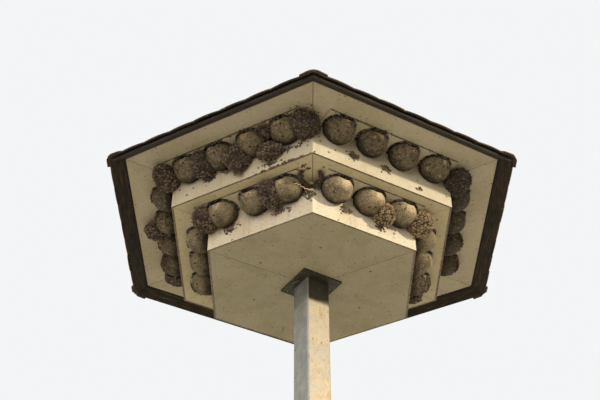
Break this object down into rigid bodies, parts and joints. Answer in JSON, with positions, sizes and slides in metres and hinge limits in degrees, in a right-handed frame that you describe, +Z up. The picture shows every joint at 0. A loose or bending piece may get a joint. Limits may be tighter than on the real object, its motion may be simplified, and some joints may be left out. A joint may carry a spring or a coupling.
{
  "type": "house martin nesting tower",
  "caption": "Stepped hexagonal nesting tower for house martins: hollow nest bowls under two ledges and a tiled roof, on one square steel post.",
  "frame": {"origin": "centre of the underside of the foot plate, at ground level", "axes": "+Z up the post; -Y towards one corner of the hexagon; +X and -X square to two of its sides"},
  "size_m": [2.1466, 2.4648, 6.2758],
  "materials": {
    "galvanised_steel": "hot-dip galvanised, dull and weathered",
    "faced_board": "cream laminate board, matt, dirty",
    "wood_concrete": "cast wood concrete, rough and matt",
    "dried_mud": "dried mud pellets",
    "stained_timber": "dark brown stained softwood",
    "deck_timber": "bare softwood boards",
    "roof_tile": "weathered brown tile with some moss",
    "sheet_zinc": "dull weathered sheet"
  },
  "bodies": {
    "root": {"broken_mud_nest": "dried_mud", "eaves_boards": "stained_timber", "finial": "sheet_zinc", "floor_boards": "faced_board", "foot_plate": "galvanised_steel", "head_plate": "galvanised_steel", "hip_caps": "roof_tile", "ledge_boards": "faced_board", "lower_bowls_back_left": "wood_concrete", "lower_bowls_back_right": "wood_concrete", "lower_bowls_front_left": "wood_concrete", "lower_bowls_front_right": "wood_concrete", "lower_bowls_left": "wood_concrete", "lower_bowls_right": "wood_concrete", "lower_mud_nests": "dried_mud", "lower_nest_boards": "faced_board", "lower_wall_back_left": "faced_board", "lower_wall_back_right": "faced_board", "lower_wall_front_left": "faced_board", "lower_wall_front_right": "faced_board", "lower_wall_left": "faced_board", "lower_wall_right": "faced_board", "post": "galvanised_steel", "roof_deck": "deck_timber", "soffit_boards": "faced_board", "tiles_back_left": "roof_tile", "tiles_back_right": "roof_tile", "tiles_front_left": "roof_tile", "tiles_front_right": "roof_tile", "tiles_left": "roof_tile", "tiles_right": "roof_tile", "upper_bowls_back_left": "wood_concrete", "upper_bowls_back_right": "wood_concrete", "upper_bowls_front_left": "wood_concrete", "upper_bowls_front_right": "wood_concrete", "upper_bowls_left": "wood_concrete", "upper_bowls_right": "wood_concrete", "upper_mud_nests": "dried_mud", "upper_nest_boards": "faced_board", "upper_wall_back_left": "faced_board", "upper_wall_back_right": "faced_board", "upper_wall_front_left": "faced_board", "upper_wall_front_right": "faced_board", "upper_wall_left": "faced_board", "upper_wall_right": "faced_board"}
  },
  "joints": []
}
